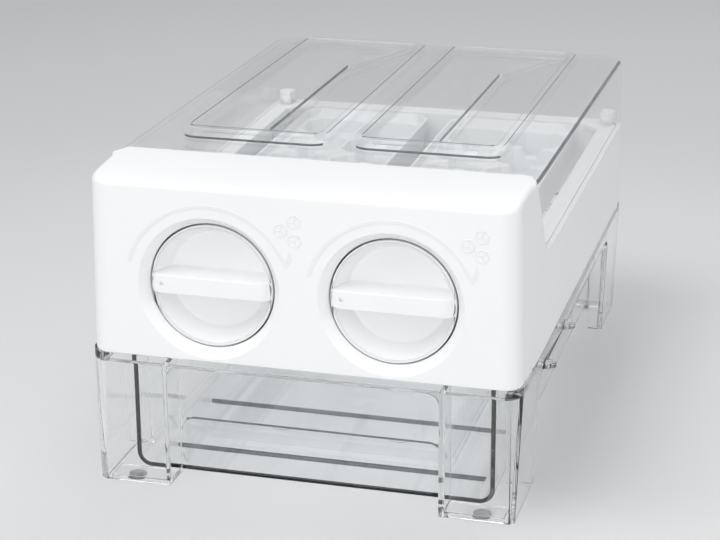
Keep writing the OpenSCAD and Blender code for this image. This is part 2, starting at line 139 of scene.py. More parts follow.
def rod(x, z, r, y0, y1, n=96):
    return lathe(x, [(0, y0), (r, y0), (r, y1), (0, y1)], n, z)


def boo(a, b, op):
    m = a.modifiers.new("b", "BOOLEAN")
    m.operation = op
    m.object = b
    m.solver = "MANIFOLD"
    dg = bpy.context.evaluated_depsgraph_get()
    me = bpy.data.meshes.new_from_object(a.evaluated_get(dg))
    a.modifiers.clear()
    old = a.data
    a.data = me
    bpy.data.meshes.remove(old)
    old = b.data
    bpy.data.objects.remove(b)
    bpy.data.meshes.remove(old)
    return a


def cut(a, *bs):
    for b in bs:
        boo(a, b, "DIFFERENCE")
    return a


def fuse(a, *bs):
    for b in bs:
        boo(a, b, "UNION")
    return a


def keep(a, *bs):
    for b in bs:
        boo(a, b, "INTERSECT")
    return a


def smooth_line(p, times=2):
    for _ in range(times):
        q = [p[0]]
        for i in range(len(p) - 1):
            a, b = p[i], p[i + 1]
            q.append((0.75 * a[0] + 0.25 * b[0], 0.75 * a[1] + 0.25 * b[1]))
            q.append((0.25 * a[0] + 0.75 * b[0], 0.25 * a[1] + 0.75 * b[1]))
        q.append(p[-1])
        p = q
    return p


def mirror_copy(ob):
    me = ob.data.copy()
    o = bpy.data.objects.new(ob.name, me)
    SC.collection.objects.link(o)
    me.transform(Matrix.Scale(-1, 4, (1, 0, 0)))
    me.flip_normals()
    return o


def piece(ob, name, mat, body, nodes, width=0.5, seg=3, ang=28, weight=None, dissolve=0.4, bevel=True):
    """Cleans the mesh, moves it to metres in the row frame, rounds its edges and hands it to the frame."""
    me = ob.data
    bm = bmesh.new()
    bm.from_mesh(me)
    bmesh.ops.remove_doubles(bm, verts=bm.verts, dist=2e-3)
    bmesh.ops.dissolve_degenerate(bm, edges=bm.edges, dist=1e-3)
    if dissolve:
        bmesh.ops.dissolve_limit(bm, angle_limit=math.radians(dissolve), verts=bm.verts, edges=bm.edges)
    if bevel:
        lay = bm.edges.layers.float.get("bevel_weight_edge") or bm.edges.layers.float.new("bevel_weight_edge")
        for e in bm.edges:
            w = 0.0
            if len(e.link_faces) == 2 and e.calc_face_angle(0.0) > math.radians(ang):
                w = 1.0
                if weight is not None:
                    mid = (e.verts[0].co + e.verts[1].co) / 2
                    w = weight(mid, (e.verts[1].co - e.verts[0].co).normalized(), e)
            e[lay] = w
        # edges that meet in a needle-thin corner stay sharp
        for f in bm.faces:
            if max(e.calc_length() for e in f.edges) < 12 and min(lo.calc_angle() for lo in f.loops) < math.radians(16):
                for e in f.edges:
                    e[lay] = 0.0
    bmesh.ops.transform(bm, matrix=Matrix.Scale(0.001, 4) @ Matrix.Translation((0, -L / 2, 0)), verts=bm.verts)
    for f in bm.faces:
        f.smooth = True
    bm.to_mesh(me)
    bm.free()
    ob.name = name
    me.name = name
    me.materials.clear()
    me.materials.append(mat)
    if bevel:
        b = ob.modifiers.new("edges", "BEVEL")
        b.width = width / 1000
        b.segments = seg
        b.limit_method = "WEIGHT"
        b.use_clamp_overlap = False
        b.miter_outer = "MITER_ARC"
        b.harden_normals = False
    w = ob.modifiers.new("normals", "WEIGHTED_NORMAL")
    w.keep_sharp = False
    w.weight = 60
    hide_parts(*nodes)
    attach(ob, body)
    return ob


# ---------------------------------------------------------------- materials
def nodes_of(name):
    m = bpy.data.materials.new(name)
    m.use_nodes = True
    nt = m.node_tree
    return m, nt, nt.nodes["Principled BSDF"], nt.nodes["Material Output"]


def noise(nt, scale, detail=3.0, rough=0.55):
    tc = nt.nodes.new("ShaderNodeTexCoord")
    n = nt.nodes.new("ShaderNodeTexNoise")
    n.inputs["Scale"].default_value = scale
    n.inputs["Detail"].default_value = detail
    n.inputs["Roughness"].default_value = rough
    nt.links.new(tc.outputs["Object"], n.inputs["Vector"])
    return n


def ramp(nt, src, a, b, lo=0.3, hi=0.7):
    r = nt.nodes.new("ShaderNodeMapRange")
    r.inputs["From Min"].default_value = lo
    r.inputs["From Max"].default_value = hi
    r.inputs["To Min"].default_value = a
    r.inputs["To Max"].default_value = b
    nt.links.new(src, r.inputs["Value"])
    return r.outputs["Result"]


def moulded(name, c0, c1, r0, r1, grain=0.05, scale=1400.0, sub=0.0):
    """Satin moulded plastic: faint flow variation of colour and gloss, fine spark-eroded grain."""
    m, nt, p, out = nodes_of(name)
    n1 = noise(nt, 14.0, 3.0)
    mix = nt.nodes.new("ShaderNodeMix")
    mix.data_type = "RGBA"
    mix.inputs[6].default_value = (*c0, 1)
    mix.inputs[7].default_value = (*c1, 1)
    nt.links.new(n1.outputs["Fac"], mix.inputs[0])
    nt.links.new(mix.outputs[2], p.inputs["Base Color"])
    n2 = noise(nt, 60.0, 4.0)
    nt.links.new(ramp(nt, n2.outputs["Fac"], r0, r1), p.inputs["Roughness"])
    n3 = noise(nt, scale, 2.0)
    b = nt.nodes.new("ShaderNodeBump")
    b.inputs["Strength"].default_value = grain
    b.inputs["Distance"].default_value = 0.0002
    nt.links.new(n3.outputs["Fac"], b.inputs["Height"])
    nt.links.new(b.outputs["Normal"], p.inputs["Normal"])
    p.inputs["IOR"].default_value = 1.49
    if sub:
        p.inputs["Subsurface Weight"].default_value = sub
        p.inputs["Subsurface Radius"].default_value = (0.004, 0.004, 0.004)
        p.inputs["Subsurface Scale"].default_value = 0.5
    return m


def clear(name, c0, c1, r0, r1, shadow, wave=0.012, thin=0.0):
    """Clear moulded plastic: polished, with painted shade that darkens its colour towards grey where the eye grazes an
    edge; lamps and bounced light pass through it.
    """
    m, nt, p, out = nodes_of(name)
    n1 = noise(nt, 9.0, 2.0)
    mix = nt.nodes.new("ShaderNodeMix")
    mix.data_type = "RGBA"
    mix.inputs[6].default_value = (*c0, 1)
    mix.inputs[7].default_value = (*c1, 1)
    nt.links.new(n1.outputs["Fac"], mix.inputs[0])
    lw = nt.nodes.new("ShaderNodeLayerWeight")
    lw.inputs["Blend"].default_value = 0.5
    edge = nt.nodes.new("ShaderNodeMapRange")
    edge.interpolation_type = "SMOOTHSTEP"
    edge.inputs["From Min"].default_value = 0.86
    edge.inputs["From Max"].default_value = 0.99
    nt.links.new(lw.outputs["Facing"], edge.inputs["Value"])
    # painted shade: the colour goes towards grey where the surface is seen edge-on, standing in for dark edge lines
    dark = nt.nodes.new("ShaderNodeMix")
    dark.data_type = "RGBA"
    dark.inputs[7].default_value = (0.42, 0.43, 0.44, 1)
    nt.links.new(edge.outputs["Result"], dark.inputs[0])
    nt.links.new(mix.outputs[2], dark.inputs[6])
    nt.links.new(dark.outputs[2], p.inputs["Base Color"])
    n2 = noise(nt, 40.0, 3.0)
    nt.links.new(ramp(nt, n2.outputs["Fac"], r0, r1), p.inputs["Roughness"])
    n3 = noise(nt, 30.0, 1.0)
    b = nt.nodes.new("ShaderNodeBump")
    b.inputs["Strength"].default_value = wave
    b.inputs["Distance"].default_value = 0.0004
    nt.links.new(n3.outputs["Fac"], b.inputs["Height"])
    nt.links.new(b.outputs["Normal"], p.inputs["Normal"])
    p.inputs["Transmission Weight"].default_value = 1.0
    p.inputs["IOR"].default_value = 1.49
    body = p.outputs[0]
    if thin:
        # part of the light goes straight on, as through an even wall
        st = nt.nodes.new("ShaderNodeBsdfTransparent")
        nt.links.new(dark.outputs[2], st.inputs["Color"])
        gl = nt.nodes.new("ShaderNodeBsdfGlossy")
        gl.inputs["Color"].default_value = (0.95, 0.955, 0.96, 1)
        gl.inputs["Roughness"].default_value = 0.03
        sheen = nt.nodes.new("ShaderNodeMath")
        sheen.operation = "POWER"
        nt.links.new(lw.outputs["Facing"], sheen.inputs[0])
        sheen.inputs[1].default_value = 5.0
        fr = nt.nodes.new("ShaderNodeMath")
        fr.operation = "MULTIPLY_ADD"
        nt.links.new(sheen.outputs[0], fr.inputs[0])
        fr.inputs[1].default_value = 0.7
        fr.inputs[2].default_value = 0.035
        tm = nt.nodes.new("ShaderNodeMixShader")
        nt.links.new(fr.outputs[0], tm.inputs[0])
        nt.links.new(st.outputs[0], tm.inputs[1])
        nt.links.new(gl.outputs[0], tm.inputs[2])
        both = nt.nodes.new("ShaderNodeMixShader")
        both.inputs[0].default_value = thin
        nt.links.new(p.outputs[0], both.inputs[1])
        nt.links.new(tm.outputs[0], both.inputs[2])
        body = both.outputs[0]
    t = nt.nodes.new("ShaderNodeBsdfTransparent")
    t.inputs["Color"].default_value = (*shadow, 1)
    lp = nt.nodes.new("ShaderNodeLightPath")
    mx = nt.nodes.new("ShaderNodeMath")
    mx.operation = "MAXIMUM"
    nt.links.new(lp.outputs["Is Shadow Ray"], mx.inputs[0])
    nt.links.new(lp.outputs["Is Diffuse Ray"], mx.inputs[1])
    ms = nt.nodes.new("ShaderNodeMixShader")
    nt.links.new(mx.outputs[0], ms.inputs[0])
    nt.links.new(body, ms.inputs[1])
    nt.links.new(t.outputs[0], ms.inputs[2])
    nt.links.new(ms.outputs[0], out.inputs["Surface"])
    return m


def metal(name, c0, c1, r0, r1):
    m, nt, p, out = nodes_of(name)
    n1 = noise(nt, 220.0, 4.0)
    mix = nt.nodes.new("ShaderNodeMix")
    mix.data_type = "RGBA"
    mix.inputs[6].default_value = (*c0, 1)
    mix.inputs[7].default_value = (*c1, 1)
    nt.links.new(n1.outputs["Fac"], mix.inputs[0])
    nt.links.new(mix.outputs[2], p.inputs["Base Color"])
    nt.links.new(ramp(nt, n1.outputs["Fac"], r0, r1), p.inputs["Roughness"])
    p.inputs["Metallic"].default_value = 1.0
    return m


WHITE = moulded("white_moulding", (0.86, 0.868, 0.876), (0.895, 0.90, 0.906), 0.34, 0.42, 0.06)
MARK = moulded("white_marks", (0.80, 0.81, 0.82), (0.84, 0.85, 0.86), 0.30, 0.36, 0.02)
KNOB = moulded("white_knob", (0.87, 0.876, 0.882), (0.90, 0.905, 0.91), 0.30, 0.38, 0.04)
TRAY = moulded("white_tray", (0.83, 0.84, 0.85), (0.87, 0.875, 0.88), 0.40, 0.50, 0.08)
NATURAL = moulded("natural_acetal", (0.74, 0.73, 0.68), (0.80, 0.79, 0.75), 0.35, 0.45, 0.05)
CLEAR = clear("clear_polystyrene", (0.985, 0.989, 0.99), (0.995, 0.997, 0.998), 0.0, 0.02, (0.988, 0.99, 0.991))
COVER_M = clear("clear_cover_plastic", (0.993, 0.995, 0.996), (0.998, 0.999, 0.999), 0.0, 0.015, (0.985, 0.988, 0.989), 0.012, 1.0)
TROUGH = clear("clear_trough_plastic", (0.992, 0.994, 0.995), (0.998, 0.999, 0.999), 0.0, 0.02, (0.985, 0.988, 0.989), 0.01, 1.0)
DRAWER_M = clear("clear_drawer_plastic", (0.985, 0.988, 0.99), (0.994, 0.996, 0.997), 0.0, 0.02, (0.988, 0.99, 0.991), 0.012, 1.0)
# painted shade: near-black clear plastic for faces that should read as dark edge lines
PAINTED_EDGE_SHADE = clear("clear_painted_edge_shade", (0.05, 0.052, 0.055), (0.08, 0.083, 0.087), 0.0, 0.02, (0.97, 0.972, 0.974))
PAD = clear("silicone_pad", (0.93, 0.945, 0.95), (0.96, 0.965, 0.97), 0.25, 0.4, (0.9, 0.91, 0.92), 0.2)
STEEL = metal("spring_steel", (0.62, 0.63, 0.64), (0.72, 0.73, 0.74), 0.22, 0.38)

def paint_edge_shade(ob, test):
    """Paints shade on the end faces picked by test: they get the near-black clear material, a painted dark line where
    an edge is seen lengthways.
    """
    ob.data.materials.append(PAINTED_EDGE_SHADE)
    for p in ob.data.polygons:
        if test(p.center * 1000 + Vector((0, L / 2, 0)), p.normal):
            p.material_index = 1


# inner pieces keep their CAD shape
for n in ("drive_shaft_left", "drive_shaft_right", "front_bush_left", "front_bush_right", "rear_bush_left", "rear_bush_right"):
    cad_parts[n].data.materials.clear()
    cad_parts[n].data.materials.append(NATURAL)
for n in ("return_spring_left", "return_spring_right", "knob_screw_left", "knob_screw_right", "carrier_screws"):
    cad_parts[n].data.materials.clear()
    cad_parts[n].data.materials.append(STEEL)


# ---------------------------------------------------------------- housing
def outline(hx, t, r=10.0, y0=0.0):
    """Plan outline with round corners, inset by t; the sides come in a little towards the front."""
    rr = r - t
    pts = arc(hx - t - rr, y0 + t + rr, rr, -90, 0, 16)
    pts += [(hx - t, y) for y in (12.0, 15.0, 19.0, 24.0, 30.0, 36.0, 42.0, 50.0, 120.0, 230.0)]
    pts += arc(hx - t - rr, L - t - rr, rr, 0, 90, 16)
    pts += [(-x, y) for x, y in reversed(pts)]
    return [(x * (hx - BOW * max(0.0, 1 - y / 50)) / hx, y) for x, y in pts]


def loft(rings):
    n = len(rings[0])
    verts = [v for r in rings for v in r]
    faces = [list(range(n))[::-1], list(range(len(verts) - n, len(verts)))]
    for i in range(len(rings) - 1):
        for k in range(n):
            k2 = (k + 1) % n
            faces.append([i * n + k, i * n + k2, (i + 1) * n + k2, (i + 1) * n + k])
    return add_mesh("tmp", verts, faces)


def drafted(t, z0, z1, r=10.0):
    return loft([[(x, y, z) for x, y in outline(hw(z), t, r)] for z in (z0, z1)])


SH = smooth_line([(-5, 3.2), (0, 2.55), (3.5, 2.1), (8, 1.5), (16, 0.8), (28, 0.3), (40, 0.1), (400, 0.1)], 3)


def roof_at(y):
    for (a, p), (b, q) in zip(SH, SH[1:]):
        if a <= y <= b:
            return TOP - p - (q - p) * (y - a) / (b - a)
    return TOP - 0.1


def roofed(t, z0, drop, r, y0):
    """Solid under the curved roof with a rounded top edge of radius r, inset by t."""
    rings = [[(x, y, z0) for x, y in outline(hw(z0), t, 10.0, y0)]]
    n = 8
    for i in range(n + 1):
        a = math.radians(90 * i / n)
        rings.append([(x, y, roof_at(y) - drop - r + r * math.sin(a)) for x, y in outline(hw(TOP), t + r - r * math.cos(a), 10.0, y0)])
    m = len(rings[0])
    verts = [v for q in rings for v in q]
    faces = [list(range(m))[::-1]]
    for i in range(len(rings) - 1):
        for k in range(m):
            k2 = (k + 1) % m
            faces.append([i * m + k, i * m + k2, (i + 1) * m + k2, (i + 1) * m + k])
    o = len(verts) - m
    h = m // 2
    for k in range(h - 1):
        faces.append([o + k, o + k + 1, o + m - 2 - k, o + m - 1 - k])
    return add_mesh("tmp", verts, faces)


def housing():
    slant = (SL1 - SL0) / (TOP - LEDGE)
    prof = [(-5, SEAM - 5), (-5, TOP + 5), (SL0 - 5 * slant, TOP + 5), (SL1, LEDGE), (L + 5, LEDGE), (L + 5, SEAM - 5)]
    a = keep(roofed(0, SEAM, 0.0, 3.2, FRONT), prism("x", prof, -W, W))
    a = cut(a, roofed(WALL, SEAM - 1, WALL, 1.2, FRONT))
    h = hw(TOP)
    a = fuse(a, prism("z", [(-h + 0.6, 37), (-h + 0.6, SL0), (-h + 4.7, ROOF), (h - 4.7, ROOF), (h - 0.6, SL0), (h - 0.6, 37)], TOP - 2.85, TOP - 0.1),
             block(-100, 100, 45, 54, TOP - 4.95, TOP - 2.75))
    for x in (-KX, KX):
        a = fuse(a, rod(x, AZ, 34.5, 1, 26.5, 144))
    a = fuse(a, block(-1.2, 1.2, 1, 26, SEAM + 4, TOP - 8))
    for s in (-1, 1):
        for y in (80, 290):
            a = fuse(a, block(*sorted((s * 99.6, s * 107.8)), y - 6, y + 6, 110, 112.5))
    for x in (-KX, KX):
        a = cut(a, lathe(x, [(0, -1), (37.1, -1), (36.2, FRONT), (32.7, 5.05), (32.3, 5.5), (32.0, 6.0), (32, 23.2), (31.2, 24), (0, 24)], 144),
                rod(x, AZ, 11.05, 23, 28))
        for y in (80, 290):
            a = cut(a, prism("z", arc(x / KX * 102.4, y, 1.7, 0, 345, 23), 100, 120))

    return piece(a, "housing_moulding", WHITE, "stand", ["upper_housing"], 0.35, 2, 30,
                 lambda m, d, e: 0.0 if 36.5 < m.y < 41.5 and m.z > TOP - 5 else 1.0)


HOUSING = housing()


# ---------------------------------------------------------------- raised marks on the fascia
def ribbon(pts, w, closed=False):
    """Flat line of width w along pts in x, z, as a closed outline or a strip."""
    n = len(pts)
    left, right = [], []
    for i in range(n):
        if closed:
            a, b, c = Vector(pts[i - 1]), Vector(pts[i]), Vector(pts[(i + 1) % n])
        else:
            a, b, c = Vector(pts[max(i - 1, 0)]), Vector(pts[i]), Vector(pts[min(i + 1, n - 1)])
        d1 = (b - a).normalized() if (b - a).length > 1e-9 else (c - b).normalized()
        d2 = (c - b).normalized() if (c - b).length > 1e-9 else d1
        t = (d1 + d2).normalized()
        nrm = Vector((-t.y, t.x))
        k = w / 2 / max(0.4, nrm.dot(Vector((-d1.y, d1.x))))
        left.append(b + nrm * k)
        right.append(b - nrm * k)
    return left, right


def raised(pts, w, closed, y0=0.02, y1=0.6):
    left, right = ribbon(pts, w, closed)
    n = len(pts)
    m = n if closed else n - 1
    v = [(p.x, y0, p.y) for p in left] + [(p.x, y0, p.y) for p in right]
    v += [(p.x, y1, p.y) for p in left] + [(p.x, y1, p.y) for p in right]
    f = []
    for i in range(m):
        j = (i + 1) % n
        f += [[i, j, n + j, n + i], [2 * n + i, 3 * n + i, 3 * n + j, 2 * n + j], [i, 2 * n + i, 2 * n + j, j], [n + i, n + j, 3 * n + j, 3 * n + i]]
    if not closed:
        f += [[0, n, 3 * n, 2 * n], [n - 1, 2 * n - 1, 4 * n - 1, 3 * n - 1]]
    return add_mesh("tmp", v, f)


def marks():
    parts = []

    def at(cx, r, a):
        return (cx + r * math.cos(math.radians(a)), AZ + r * math.sin(math.radians(a)))
    for s in (-1, 1):
        cx = s * KX
        # turning arrow over the knob: a flat band that ends in a half head
        outer = [at(cx, 43.0, 164.5 + (23.4 - 164.5) * i / 72) for i in range(73)]
        head = [(cx + 41.5, AZ + 23.6), (cx + 42.8, AZ + 19.5), (cx + 39.8, AZ + 13.8)]
        inner = [at(cx, 41.1 + 0.8 * max(0.0, 1 - (a - 19.6) / 8), a) for a in [19.6 + (164.5 - 19.6) * i / 72 for i in range(73)]]
        parts.append(prism("y", outer + head + inner, 0.03, 0.7))
        # three ice cubes
        for (ux, uz, turn) in ((44.1, 38.1, 75), (37.3, 33.3, 75), (44.3, 28.5, 45)):
            c0 = (cx + ux, AZ + uz)
            hx = [(c0[0] + 3.45 * math.cos(math.radians(turn + 60 * k)), c0[1] + 3.45 * math.sin(math.radians(turn + 60 * k))) for k in range(6)]
            parts.append(raised(hx, 0.6, True))
            for k in (0, 2, 4):
                parts.append(raised([c0, hx[k]], 0.55, False, 0.04))
    a = parts[0]
    bpy.ops.object.select_all(action="DESELECT")
    for p in parts:
        p.select_set(True)
    bpy.context.view_layer.objects.active = a
    bpy.ops.object.join()
    ob = piece(a, "fascia_marks", MARK, "stand", [], 0.1, 1, 40, None, 0, True)
    return ob


MARKS = marks()


# ---------------------------------------------------------------- tray carrier
def carrier():
    a = block(97, 106, 32, L - WALL - 0.4, LEDGE - 2.5, LEDGE)
    a = fuse(a, block(-106, -97, 32, L - WALL - 0.4, LEDGE - 2.5, LEDGE),
             block(-97.1, 97.1, 308, L - WALL - 0.4, LEDGE - 2.5, LEDGE))
    for s in (-1, 1):
        a = fuse(a, prism("z", [(s * 97.1, 297), (s * 97.1, 308.1), (s * 86.5, 308.1)], LEDGE - 2.5, LEDGE))
    a = keep(a, prism("z", rrect(-106, 106, -20, L - WALL - 0.4, 9, 12), 100, 130))
    a = fuse(a, block(97, 99, 27.5, 311, 78, LEDGE - 2.4), block(-99, -97, 27.5, 311, 78, LEDGE - 2.4),
             block(-98, 98, 308, 311, 78, LEDGE - 2.4), block(-98, 98, 27.5, 30, 78, 95))
    for s in (-1, 1):
        for y in (80, 290):
            a = fuse(a, prism("z", arc(s * 102.4, y, 2.9, 0, 345, 23), 112.8, LEDGE - 2))
        post = prism("z", arc(s * 100.2, 310.6, 5.3, 0, 354, 59), LEDGE - 1, LEDGE + 7.8)
        post = keep(post, block(*sorted((s * 97, s * 105.5)), 300, 320, 100, 140))
        a = fuse(a, post)
        for an in (75.5, -105.4):
            a = fuse(a, rod(s * KX + 24 * math.sin(math.radians(an)), AZ + 24 * math.cos(math.radians(an)), 3, 305.6, 309, 40))
    for s in (-1, 1):
        a = cut(a, rod(s * KX, AZ, 7.05, 303, 313, 64))
        for y in (80, 290):
            a = cut(a, prism("z", arc(s * 102.4, y, 1.25, 0, 345, 23), 110, 119.2))
    return piece(a, "carrier_moulding", WHITE, "stand", ["tray_carrier"], 0.45, 3, 28,
                 lambda m, d, e: 0.0 if abs(m.z - LEDGE) < 0.3 and math.hypot(abs(m.x) - 100.2, m.y - 310.6) < 7.5 else 1.0)


CARRIER = carrier()


# ---------------------------------------------------------------- clear cover
def shell(t, z0, drop, r):
    """Solid with a sloping top and a rounded top edge of radius r, inset by t."""
    rings = [[(x, y, z0) for x, y in outline(hw(z0), t)]]
    n = 7
    for i in range(n + 1):
        a = math.radians(90 * i / n)
        rings.append([(x, y, top_at(y) - drop - r + r * math.sin(a)) for x, y in outline(hw(TOP), t + r - r * math.cos(a))])
    return loft(rings)


def cover():
    g = 0.3
    a = keep(shell(0, LEDGE + g, 0, 4.2), prism("x", [(SL0 + g, TOP + 1), (SL0 + g, TOP), (SL1 + g, LEDGE + g - 0.5), (L + 5, LEDGE + g - 0.5), (L + 5, TOP + 1)], -W, W))
    a = cut(a, keep(shell(CT, LEDGE - 1, CT, 2.4), block(-W, W, 30, L, 0, 300)))
    h = hw(TOP)
    a = cut(a, prism("z", [(-W, 30), (-W, SL0 - 1), (-h - 1, SL0 - 1.2 + g), (-h + 4.6, ROOF + g), (h - 4.6, ROOF + g), (h + 1, SL0 - 1.2 + g), (W, SL0 - 1), (W, 30)], TOP - 8, TOP + 2))
    for x in (-KX, KX):
        a = cut(a, prism("z", rrect(x - 35.5, x + 35.5, 76, 291.5, 6), TOP - 8, TOP + 5))
    for s in (-1, 1):
        a = cut(a, prism("y", rrect(s * 45.5 - 30.5, s * 45.5 + 30.5, LEDGE - 15, 145.5, 6), L - 10, L + 10))
    c = piece(a, "cover_moulding", COVER_M, "cover", ["clear_cover"], 0.4, 2, 35, lambda m, d, e: 0.0 if abs(m.x) > 103 and 38 < m.y < 50 and 152 < m.z < 160 else 1.0)
    # painted shade: the sloping faces along the cover's right top edge get the near-black edge material
    paint_edge_shade(c, lambda q, n: 0.55 < n.x < 0.86 and n.z > 0.4 and q.x > 100 and 44 < q.y < 310 and q.z > top_at(q.y) - 6)
    return c


COVER = cover()


# ---------------------------------------------------------------- fill trays
def ring_loft(path_fn, prof):
    """Sweeps a closed profile of (inset, z) round an outline given by path_fn(inset)."""
    rings = [[(p[0], p[1], z) for p in path_fn(t)] for t, z in prof]
    n = len(rings[0])
    verts = [v for r in rings for v in r]
    m = len(rings)
    faces = []
    for i in range(m):
        for k in range(n):
            a, b = i * n, ((i + 1) % m) * n
            faces.append([a + k, a + (k + 1) % n, b + (k + 1) % n, b + k])
    return add_mesh("tmp", verts, faces)


def fill_tray(x):
    hwid, y0, y1, r = 39.0, 71.5, 296.0, 9.0
    z0, z1 = TOP + 0.3, TOP + 6.5

    def path(t):
        return rrect(-hwid + t, hwid - t, y0 + t, y1 - t, max(r - t, 4.0), 14)
    # rim: flat on top with rounded edges, standing on the cover
    prof = [(0.0, z0), (0.0, z0 + 1.3), (0.0, z1 - 1.7)]
    prof += [(1.5 - 1.5 * math.cos(math.radians(a)), z1 - 1.7 + 1.7 * math.sin(math.radians(a))) for a in (15, 30, 45, 60, 75, 90)]
    prof += [(2.3, z1)]
    prof += [(4.5 - 1.0 + 1.0 * math.sin(math.radians(a)), z1 - 1.2 + 1.2 * math.cos(math.radians(a))) for a in (0, 22.5, 45, 67.5, 90)]
    prof += [(4.5, z0)]
    a = ring_loft(path, prof)
    body = prism("z", rrect(-hwid + 4.4, hwid - 4.4, 75.9, 291.6, 4.1, 14), 150, 175)
    body = keep(body, prism("y", [(-hwid + 4.3, TOP + 5), (hwid - 4.3, TOP + 5), (hwid - 4.3, TOP + 2.6), (2.5, TOP - 3.5), (-2.5, TOP - 3.5), (-hwid + 4.3, TOP + 2.6)], 60, 300),
                prism("x", [(75.8, TOP + 5), (75.8, TOP + 2.6), (104, TOP - 3.5), (263, TOP - 3.5), (291.7, TOP + 2.6), (291.7, TOP + 5)], -50, 50))
    z = TOP - 1.5
    tr = prism("y", [(-hwid + 4.4, z + 6.51), (hwid - 4.4, z + 6.51), (1.5, z), (-1.5, z)], 60, 300)
    tr = keep(tr, prism("x", [(75.9, z + 6.51), (105, z), (262, z), (291.6, z + 6.51)], -50, 50))
    a = fuse(a, cut(body, tr), block(-2.7, 2.7, 105.6, 261.4, TOP - 6.2, TOP - 3.3))
    a = cut(a, block(-1.5, 1.5, 107, 260, TOP - 3.4, 180))
    a = cut(a, block(-1.3, 1.3, 107.2, 259.8, 150, TOP - 3.3))
    tilt = Matrix.Translation((0, 184, top_at(184))) @ Matrix.Rotation(-math.atan((TOP - BACK) / RUN), 4, "X") @ Matrix.Translation((0, -184, -TOP))
    a.data.transform(tilt @ Matrix.Translation((x, 0, 0)))
    return a


for s, n in ((-1, "left"), (1, "right")):
    t = piece(fill_tray(s * KX), "fill_trough_" + n, TROUGH, "fill_" + n, ["fill_tray_" + n], 0.3, 2, 30, None, 0)

    # painted shade: the rim's front foot, front crest, outer side faces and slot wall get the near-black edge material
    def painted_shade_faces(c, nn, cx=s * KX):
        up = c.z - top_at(c.y)
        foot = c.y < 78 and nn.y < -0.6 and up < 1.5
        crest = 73.9 < c.y < 76.6 and nn.z > 0.9 and abs(c.x - cx) < 34
        side = c.y > 76.6 and nn.z > 0.5 and 0.55 < nn.x < 0.75 and (c.x < cx - 34 or c.x > cx + 38) and 5.5 < up < 6.6
        slot = nn.x > 0.9 and abs(c.x - cx + 1.5) < 0.1 and up < 0
        return foot or crest or side or slot
    paint_edge_shade(t, painted_shade_faces)


# ---------------------------------------------------------------- knobs
def knob(x):
    R, ry, fy = 31.2, 5.4, 17.5
    dish = [(0, fy), (22.6, fy)] + smooth_line([(22.9, fy), (24.9, fy - 0.1), (25.5, fy - 1.6)], 2)
    dish += smooth_line([(29.3, ry + 1.6), (29.7, ry + 0.1), (30.3, ry)], 2) + [(30.8, ry), (31.1, ry + 0.15), (R, ry + 0.5), (R, ry + 5)]
    a = lathe(x, dish + [(27.4, fy + 2), (8, fy + 2), (8, 31), (0, 31)], 160)
    bar = [(-R, fy + 1), (-R, ry + 0.2)] + smooth_line([(-30.5, ry - 0.3), (-29.0, 3.8), (-27, 2.6), (-24.5, 2.05), (-18, 2.0), (18, 2.0), (24.5, 2.05), (27, 2.6), (29.0, 3.8), (30.5, ry - 0.3)], 2) + [(R, ry + 0.2), (R, fy + 1)]
    # bar with gently drafted sides: wider at its root
    v, f = [], []
    n = len(bar)
    for side in (-1, 1):
        for (u, y) in bar:
            w = 4.6 + 0.032 * max(0.0, y - 2.0)
            v.append((x + u, y, AZ + side * w))
    f = [list(range(n)), list(range(n, 2 * n))[::-1]] + [[i, (i + 1) % n, n + (i + 1) % n, n + i] for i in range(n)]
    b = add_mesh("tmp", v, f)
    b = keep(b, lathe(x, [(0, 0), (R - 0.8, 0), (R - 0.8, ry + 3), (26, fy + 1), (0, fy + 1)], 160))
    a = fuse(a, b)
    # dimple of the grip mark, screw hole and shaft socket
    a = cut(a, lathe(x - 24.9, [(0, 1), (1.25, 1), (1.25, 2.3), (1.05, 4.4), (0, 4.4)], 40), rod(x, AZ, 5, 22, 40, 64), rod(x, AZ, 1.5, 9, 30, 32))

    def wt(mid, d, e):
        rr = math.hypot(mid.x - x, mid.z - AZ)
        if mid.y > 26:
            return 0.0
        if math.hypot(mid.x - x + 24.9, mid.z - AZ) < 1.6:
            return 0.12
        if mid.y < 6.5 and abs(mid.z - AZ) > 3.2 and rr < 30.6:
            return 1.0
        if abs(abs(mid.z - AZ) - 5.0) < 0.8 and mid.y > 6:
            return 0.7
        return 0.3
    return a, wt


for s, n in ((-1, "left"), (1, "right")):
    a, wt = knob(s * KX)
    piece(a, "knob_moulding_" + n, KNOB, "twist_" + n, ["knob_" + n], 0.4, 2, 28, wt)


